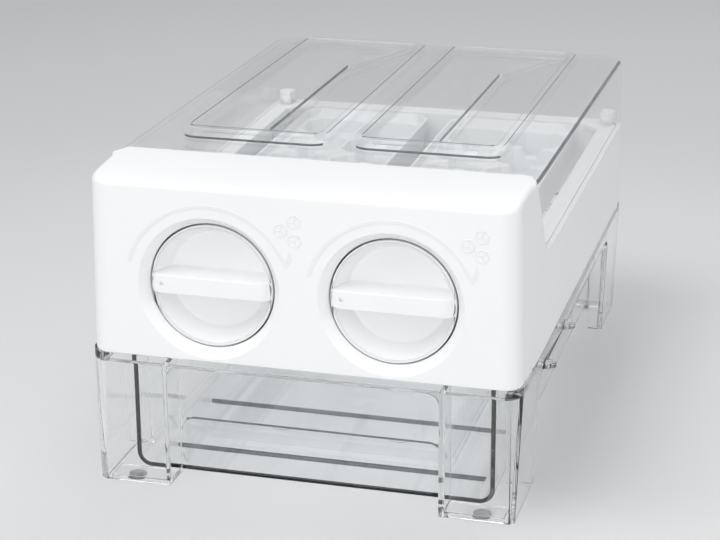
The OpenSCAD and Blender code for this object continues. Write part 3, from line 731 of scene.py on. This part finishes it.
# ---------------------------------------------------------------- ice trays
def ice_tray(x):
    HWD, LOW, TT, Y0, Y1 = 39.0, 90.0, 120.0, 74.0, 305.0
    DK = TT - 4.7
    px, py = 35.8, 37.2
    ry0 = (Y0 + Y1 - 223.2) / 2

    def plan(t):
        return [(-HWD + t + 8, Y0 + t), (HWD - t - 8, Y0 + t), (HWD - t, Y0 + t + 8), (HWD - t, Y1 - t - 8), (HWD - t - 8, Y1 - t),
                (-HWD + t + 8, Y1 - t), (-HWD + t, Y1 - t - 8), (-HWD + t, Y0 + t + 8)]
    a = prism("z", plan(0), LOW, TT)
    a = keep(a, prism("y", [(-HWD + 5, LOW), (HWD - 5, LOW), (HWD - 1.4, TT - 1.6), (HWD, TT - 1.6), (HWD, TT), (-HWD, TT), (-HWD, TT - 1.6), (-HWD + 1.4, TT - 1.6)], 0, 400))
    a = fuse(a, rod(0, AZ, 11.5, Y0 - 6, Y0 + 1, 64), rod(0, AZ, 5, Y1 - 1, 311.5, 48), block(-27, -21, Y1 - 1, Y1 + 2.2, AZ - 3, AZ + 3))
    c = prism("z", plan(1.6), DK, DK + 20)
    c = keep(c, prism("y", [(-HWD + 2.1, DK), (HWD - 2.1, DK), (HWD - 1.6, TT + 1), (-HWD + 1.6, TT + 1)], 0, 400),
             prism("x", [(Y0 + 5, DK), (Y1 - 5, DK), (Y1 - 1.8, TT + 1), (Y0 + 1.8, TT + 1)], -50, 50))
    a = cut(a, c)
    for i in range(2):
        cx = (i - 0.5) * px
        for j in range(6):
            cy = ry0 + (j + 0.5) * py
            aa, c1 = px / 2 - 1, py / 2 - 3
            bb, d1 = aa - 4.6, c1 - 4.2

            def octo(hx, hy, ch):
                return [(cx - hx + ch, cy - hy), (cx + hx - ch, cy - hy), (cx + hx, cy - hy + ch), (cx + hx, cy + hy - ch),
                        (cx + hx - ch, cy + hy), (cx - hx + ch, cy + hy), (cx - hx, cy + hy - ch), (cx - hx, cy - hy + ch)]
            lo, hi = octo(bb, d1, 5.2), octo(aa, c1, 6.5)
            top = octo(aa + 0.02, c1 + 0.02, 6.5)
            v = [(p[0], p[1], LOW + 2) for p in lo] + [(p[0], p[1], DK) for p in hi] + [(p[0], p[1], DK + 0.5) for p in top]
            f = [list(range(8))[::-1], list(range(16, 24))]
            for k in range(8):
                k2 = (k + 1) % 8
                f += [[k, k2, 8 + k2, 8 + k], [8 + k, 8 + k2, 16 + k2, 16 + k]]
            a = cut(a, add_mesh("tmp", v, f))
        a = cut(a, prism("y", [(cx - 3.5, DK - 5.5), (cx + 3.5, DK - 5.5), (cx + 6.15, DK + 0.4), (cx - 6.15, DK + 0.4)], ry0 + 8, ry0 + 215.2))
    a = cut(a, prism("y", [(-3.4, LOW - 1), (3.4, LOW - 1), (0, LOW + 17)], Y0 + 6, Y1 - 6))
    for j in range(1, 6):
        cc = ry0 + j * py
        a = cut(a, prism("x", [(cc - 5.6, LOW - 1), (cc + 5.6, LOW - 1), (cc + 1.2, LOW + 16.5), (cc - 1.2, LOW + 16.5)], -HWD + 8, HWD - 8))
    a = cut(a, block(-9.1, 9.1, Y0 - 7, Y0 - 1.6, AZ - 3.3, AZ + 3.3))
    a.data.transform(Matrix.Translation((x, 0, 0)))
    return a


for s, n in ((-1, "left"), (1, "right")):
    piece(ice_tray(s * KX), "tray_moulding_" + n, TRAY, "twist_" + n, ["ice_tray_" + n], 0.7, 3, 22)


# ---------------------------------------------------------------- stand
def st_hw(z):
    return W / 2 - 0.2 - 0.035 * (SEAM - z)


def stand_block(t, z0, z1):
    a = prism("z", rrect(-W / 2 + t, W / 2 - t, t, L - t, 10 - t, 14), z0, z1)
    return keep(a, prism("y", [(-st_hw(z0) + t, z0), (st_hw(z0) - t, z0), (st_hw(z1) - t, z1), (-st_hw(z1) + t, z1)], -5, L + 5),
                prism("x", [(1.2 + t, z0), (0.2 + t, z1), (L - 0.2 - t, z1), (L - 1.2 - t, z0)], -W, W))


def base_frame():
    FZ, PZ, PH, BZ = 1.5, 66.5, 69.5, 60.0
    a = cut(stand_block(0, FZ, SEAM), stand_block(3, FZ - 1, SEAM + 1),
            prism("y", rrect(-PH, PH, -30, PZ, 6), -5, 12),
            prism("x", rrect(52, 273, -30, BZ, 8), -W, W),
            prism("y", rrect(-76, 76, -30, BZ, 8), L - 12, L + 5))
    fl = cut(stand_block(0, PZ, SEAM), block(-101, 101, 8, L - 8, 0, 100))
    a = fuse(a, fl)
    for s in (-1, 1):
        def bx(x0, x1, y0, y1, z0, z1):
            return block(*sorted((s * x0, s * x1)), y0, y1, z0, z1)
        a = fuse(a, bx(97.5, 106, 24, L - 8, PZ - 2.5, PZ + 0.1),
                 bx(PH, PH + 2.5, 2.5, 19.5, FZ, PZ + 1), bx(99, 105.6, 49, 52, FZ, BZ + 2), bx(99, 105.6, 273, 276, FZ, BZ + 2),
                 bx(PH, 102, 3, 18, FZ, FZ + 2.2), bx(78, 102, L - 13.5, L - 3, FZ, FZ + 2.2))
    a = fuse(a, block(-98, 98, L - 10.5, L - 3, PZ - 2.5, PZ + 0.1))
    for s in (-1, 1):
        for y in (63, 119):
            a = cut(a, block(*sorted((s * 100, s * 112)), y - 4.3, y + 4.3, 60.7, 64))
    return a


piece(base_frame(), "stand_moulding", CLEAR, "stand", ["base_frame"], 0.5, 3, 26)


def clips():
    out = []
    for s in (-1, 1):
        for y in (63, 119):
            a = fuse(block(*sorted((s * 105.6, s * 113.2)), y - 4, y + 4, 61, 63.7),
                     prism("z", arc(s * 113.2, y, 2.4, 0, 350, 35), 61, 63.7),
                     block(*sorted((s * 104.4, s * 105.8)), y - 6.5, y + 6.5, 60.3, 63.9))
            out.append(a)
    bpy.ops.object.select_all(action="DESELECT")
    for p in out:
        p.select_set(True)
    bpy.context.view_layer.objects.active = out[0]
    bpy.ops.object.join()
    return out[0]


piece(clips(), "clip_mouldings", CLEAR, "stand", ["side_clips"], 0.4, 3, 28)


def pads():
    out = [lathe_z(s * 90, y, [(0, 0), (3.9, 0), (4.3, 0.15), (4.5, 0.5), (4.5, 1.5), (0, 1.5)]) for s in (-1, 1) for y in (10, L - 8)]
    bpy.ops.object.select_all(action="DESELECT")
    for p in out:
        p.select_set(True)
    bpy.context.view_layer.objects.active = out[0]
    bpy.ops.object.join()
    return out[0]


def lathe_z(x, y, prof, n=48):
    ob = lathe(0, prof, n, 0)
    # the lathe's axis is Y: stand it up and move it
    ob.data.transform(Matrix.Translation((x, y, 0)) @ Matrix(((1, 0, 0, 0), (0, 0, -1, 0), (0, 1, 0, 0), (0, 0, 0, 1))))
    return ob


piece(pads(), "shelf_pads", PAD, "stand", ["foot_pads"], 0.1, 1, 40, None, 0, False)


# ---------------------------------------------------------------- tub, guides, drawer
def tub():
    T = 94.0
    a = prism("y", rrect(-T, T, 2.5, 68.4, [8, 8, 0, 0], 12), 20, 306)
    a = cut(a, prism("y", rrect(-T + 2.4, T - 2.4, 4.9, 90, [5.6, 5.6, 0, 0], 12), 10, 303.6))
    for s in (-1, 1):
        a = fuse(a, block(*sorted((s * (T - 1), s * 100.4)), 24, 306, 66.6, 68.4))
    return a


TUB = piece(tub(), "tub_moulding", CLEAR, "stand", ["ice_tub"], 0.6, 3, 26)


# painted shade: the tub's front cut edge gets the near-black edge material
paint_edge_shade(TUB, lambda c, n: n.y < -0.9 and abs(c.y - 20) < 0.5)


def ribs():
    a = keep(block(-84, 84, 46, 48.4, 0.5, 2.4), prism("y", rrect(-84, 84, 0.5, 6, [1.6, 1.6, 0, 0], 6), 40, 60))
    b = keep(block(-84, 84, 106, 108.4, 0.5, 2.4), prism("y", rrect(-84, 84, 0.5, 6, [1.6, 1.6, 0, 0], 6), 100, 120))
    bpy.ops.object.select_all(action="DESELECT")
    for p in (a, b):
        p.select_set(True)
    bpy.context.view_layer.objects.active = a
    bpy.ops.object.join()
    return a


# painted shade: the ribs are made in the near-black edge material so they read as dark lines
piece(ribs(), "tub_ribs", PAINTED_EDGE_SHADE, "stand", [], 0.3, 2, 40)
for s, n in ((-1, "left"), (1, "right")):
    piece(block(*sorted((s * 69.2, s * 71.2)), 26, 300, 4.9, 12), "guide_strip_" + n, DRAWER_M, "stand", ["drawer_guide_" + n], 0.4, 3, 28)


def drawer():
    D, DT = 68.2, 33.5
    a = prism("y", rrect(-D, D, 6, DT, [6.5, 6.5, 0, 0], 12), 18, 298)
    a = cut(a, prism("y", rrect(-D + 2.2, D - 2.2, 8.2, 90, [4.3, 4.3, 0, 0], 12), 10, 295.8),
            block(-D + 2.2, D - 2.2, 10, 55, 0, 12))
    a = fuse(a, prism("y", rrect(-D, D, 6, DT, 7.5, 14), 16, 18.2),
             prism("x", [(17.5, DT - 1.4), (19.5, DT - 1.4), (56.3, 9.0), (58, 8.1), (58, 6.05), (54.4, 6.05), (17.5, DT - 4.4)], -D + 2, D - 2))
    for s in (-1, 1):
        a = fuse(a, block(*sorted((s * 58, s * 60.5)), 58, 296, 5.3, 6.1))
        a = cut(a, prism("z", arc(s * 32, 76, 7.5, 0, 353, 53), 7.5, 9.5))
    return a


DRAWER = piece(drawer(), "drawer_moulding", DRAWER_M, "drawer", ["ice_drawer"], 0.3, 2, 30)
# painted shade: chosen faces of the drawer's front, ramp and round holes get the near-black edge material
paint_edge_shade(DRAWER, lambda c, n: (n.z > 0.05 and c.y < 18.3 and c.z > 26) or (n.z > 0.5 and 56.2 < c.y < 58.1 and c.z < 9.1)
       or (abs(n.z) < 0.3 and n.y > 0.25 and 7.4 < c.z < 8.4 and c.y < 76))

# ---------------------------------------------------------------- stage, light, camera
fl = add_mesh("floor", [(-6, -6, 0), (6, -6, 0), (6, 6, 0), (-6, 6, 0)], [[0, 1, 2, 3]])
fl.location.z = -0.0002
fm, fnt, fp, fo = nodes_of("pale_floor")
fn = noise(fnt, 3.0, 2.0)
fmix = fnt.nodes.new("ShaderNodeMix")
fmix.data_type = "RGBA"
fmix.inputs[6].default_value = (0.60, 0.603, 0.607, 1)
fmix.inputs[7].default_value = (0.62, 0.623, 0.627, 1)
fnt.links.new(fn.outputs["Fac"], fmix.inputs[0])
# painted light: the floor is paler where the piece stands, a pool of light painted under it
ftc = fnt.nodes.new("ShaderNodeTexCoord")
fgr = fnt.nodes.new("ShaderNodeVectorMath")
fgr.operation = "LENGTH"
fnt.links.new(ftc.outputs["Object"], fgr.inputs[0])
frm = fnt.nodes.new("ShaderNodeMapRange")
frm.interpolation_type = "SMOOTHSTEP"
frm.inputs["From Min"].default_value = 0.22
frm.inputs["From Max"].default_value = 0.62
frm.inputs["To Min"].default_value = 1.0
frm.inputs["To Max"].default_value = 0.0
fnt.links.new(fgr.outputs["Value"], frm.inputs["Value"])
fm2 = fnt.nodes.new("ShaderNodeMix")
fm2.data_type = "RGBA"
fm2.inputs[7].default_value = (0.70, 0.703, 0.706, 1)
fnt.links.new(frm.outputs["Result"], fm2.inputs[0])
fnt.links.new(fmix.outputs[2], fm2.inputs[6])
fnt.links.new(fm2.outputs[2], fp.inputs["Base Color"])
fp.inputs["Roughness"].default_value = 0.6
fp.inputs["Specular IOR Level"].default_value = 0.25
fl.data.materials.append(fm)

w = bpy.data.worlds.new("studio")
SC.world = w
w.use_nodes = True
nt = w.node_tree
bg = nt.nodes["Background"]
tc = nt.nodes.new("ShaderNodeTexCoord")
sp = nt.nodes.new("ShaderNodeSeparateXYZ")
nt.links.new(tc.outputs["Generated"], sp.inputs[0])


def soft_step(src, a, b):
    n = nt.nodes.new("ShaderNodeMapRange")
    n.interpolation_type = "SMOOTHSTEP"
    n.inputs["From Min"].default_value = a
    n.inputs["From Max"].default_value = b
    nt.links.new(src, n.inputs["Value"])
    return n.outputs["Result"]


# soft sky: pale overhead and behind, a dark band low down at the sides that draws the clear edges
mxx = nt.nodes.new("ShaderNodeMath")
mxx.operation = "MAXIMUM"
nt.links.new(soft_step(sp.outputs["Z"], 0.10, 0.32), mxx.inputs[0])
nt.links.new(soft_step(sp.outputs["Y"], 0.25, 0.60), mxx.inputs[1])
cr = nt.nodes.new("ShaderNodeMix")
cr.data_type = "RGBA"
cr.inputs[6].default_value = (0.16, 0.162, 0.165, 1)
cr.inputs[7].default_value = (0.50, 0.505, 0.51, 1)
nt.links.new(mxx.outputs[0], cr.inputs[0])
nt.links.new(cr.outputs[2], bg.inputs["Color"])
bg.inputs["Strength"].default_value = 0.95


def area(name, loc, target, size, power, hidden=False):
    l = bpy.data.lights.new(name, "AREA")
    l.energy = power
    l.shape = "RECTANGLE"
    l.size = size
    l.size_y = size
    o = bpy.data.objects.new(name, l)
    SC.collection.objects.link(o)
    o.location = loc
    d = Vector(target) - Vector(loc)
    o.rotation_euler = d.to_track_quat("-Z", "Y").to_euler()
    o.visible_camera = False
    if hidden:
        o.visible_glossy = False
        o.visible_transmission = False
    return o


area("front", (-0.15, -1.9, 0.75), (0, 0, 0.08), 1.5, 6.0)
area("key", (-0.6, -0.7, 1.5), (0, 0, 0.08), 1.1, 13)
area("fill", (1.6, -0.6, 0.7), (0, 0, 0.08), 1.0, 7.0)
area("back", (0.15, 0.85, 1.25), (0, 0, 0.12), 0.9, 4.5)
# low lamps, seen only as the light they give, that reach into the knob wells and the stand
area("low_front", (0.1, -1.3, 0.28), (0, 0, 0.06), 0.5, 2.2, True)
under = area("under", (0.0, 0.0, 0.067), (0, 0.0, 0.0), 0.16, 0.075, True)
under.data.size_y = 0.27
under.data.spread = math.radians(70)

cam = bpy.data.cameras.new("camera")
co = bpy.data.objects.new("camera", cam)
SC.collection.objects.link(co)
fwd = Vector((-0.24935923, 0.90885348, -0.33437303)).normalized()
rgt = Vector((0.96482601, 0.26283981, -0.00510027)).normalized()
upv = rgt.cross(fwd).normalized()
rgt = fwd.cross(upv).normalized()
co.matrix_world = Matrix((
    (rgt.x, upv.x, -fwd.x, 0.27398),
    (rgt.y, upv.y, -fwd.y, -1.04585),
    (rgt.z, upv.z, -fwd.z, 0.45286),
    (0, 0, 0, 1)))
cam.sensor_width = 36.0
cam.sensor_fit = "HORIZONTAL"
cam.lens = 2056.93 / 720 * 36.0
cam.clip_start = 0.01
cam.clip_end = 50
SC.camera = co

SC.view_settings.view_transform = "Standard"
SC.view_settings.look = "None"
SC.view_settings.exposure = 0.0
SC.cycles.max_bounces = 24
SC.cycles.transmission_bounces = 24
SC.cycles.glossy_bounces = 8
SC.cycles.diffuse_bounces = 6
SC.cycles.transparent_max_bounces = 32
SC.cycles.caustics_reflective = False
SC.cycles.caustics_refractive = False
